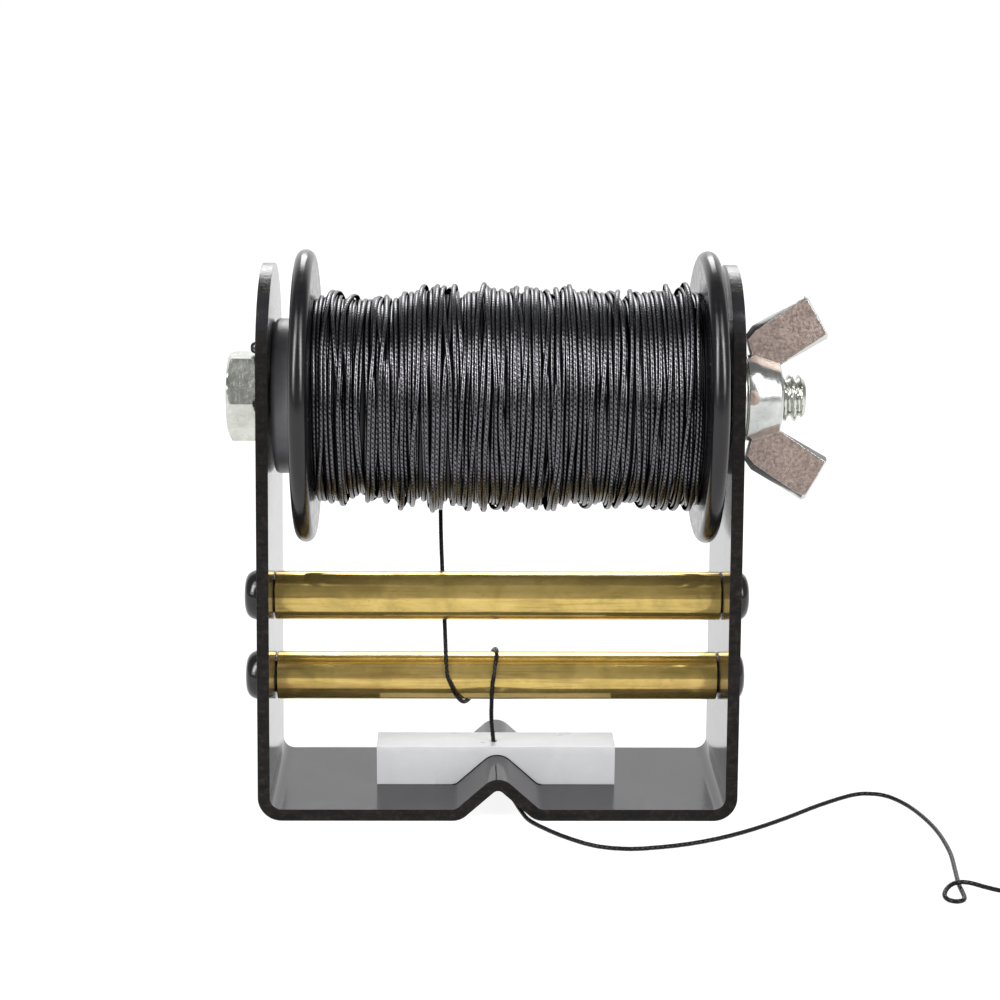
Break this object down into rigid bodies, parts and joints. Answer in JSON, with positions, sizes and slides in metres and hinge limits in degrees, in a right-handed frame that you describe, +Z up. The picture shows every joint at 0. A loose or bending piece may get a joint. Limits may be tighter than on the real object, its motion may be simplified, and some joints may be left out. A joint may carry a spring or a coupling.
{
  "type": "string reel",
  "caption": "Bowstring serving tool: a bent steel strap holds a drag-adjusted spool of braided thread over guide rollers, a nylon guide pad and a saddle for the string.",
  "frame": {"origin": "centre of the base under the crown of the saddle, on the plane that the base rests on", "axes": "+X along the spool's axle towards the wing nut, +Y through the strap's depth (the way a bowstring passes under the saddle), +Z up"},
  "size_m": [0.11, 0.0605, 0.0746],
  "materials": {
    "black_paint": "gloss black powder coat on steel strap",
    "zinc": "bright zinc plate",
    "zinc_cast": "die-cast zinc, semi-bright",
    "black_oxide": "gloss black rivet head",
    "black_plastic": "satin black moulded plastic",
    "thread": "waxed braided polyethylene serving thread, charcoal",
    "brass": "drawn brass tube with light tarnish",
    "nylon": "milky natural nylon, slightly translucent"
  },
  "bodies": {
    "frame": {"frame": "black_paint", "axle_bolt": "zinc", "bolt_stop_pin": "black_oxide", "drag_spacer": "black_plastic", "drag_washer": "black_plastic", "upper_roller_axle": "black_oxide", "lower_roller_axle": "black_oxide", "guide_pad": "nylon", "pad_screws": "zinc", "thread_feed": "thread", "thread_tail": "thread"},
    "spool": {"left_flange": "black_plastic", "right_flange": "black_plastic", "spool_barrel": "black_plastic", "thread_winding": "thread"},
    "upper_roller": {"upper_roller": "brass"},
    "lower_roller": {"lower_roller": "brass"},
    "washer": {"flat_washer": "zinc"},
    "wing_nut": {"wing_nut": "zinc_cast"}
  },
  "joints": [
    {"name": "spool_spin", "type": "hinge", "parent": "frame", "child": "spool", "pos_m": [0, 0, 0.0552], "axis": [1, 0, 0], "continuous": true},
    {"name": "upper_roller_spin", "type": "hinge", "parent": "frame", "child": "upper_roller", "pos_m": [0, -0.00142, 0.02812], "axis": [1, 0, 0], "continuous": true},
    {"name": "lower_roller_spin", "type": "hinge", "parent": "frame", "child": "lower_roller", "pos_m": [0, 0.00115, 0.01604], "axis": [1, 0, 0], "continuous": true},
    {"name": "washer_slide", "type": "slide", "parent": "frame", "child": "washer", "axis": [1, 0, 0], "range_m": [0, 0.0064]},
    {"name": "wing_nut_turn", "type": "hinge", "parent": "washer", "child": "wing_nut", "pos_m": [0.035, 0, 0.0552], "axis": [1, 0, 0], "range_deg": [0, 1800]}
  ],
  "couplings": [
    {"joint": "washer_slide", "follows": "wing_nut_turn", "m_per_rad": 0.00020213}
  ]
}
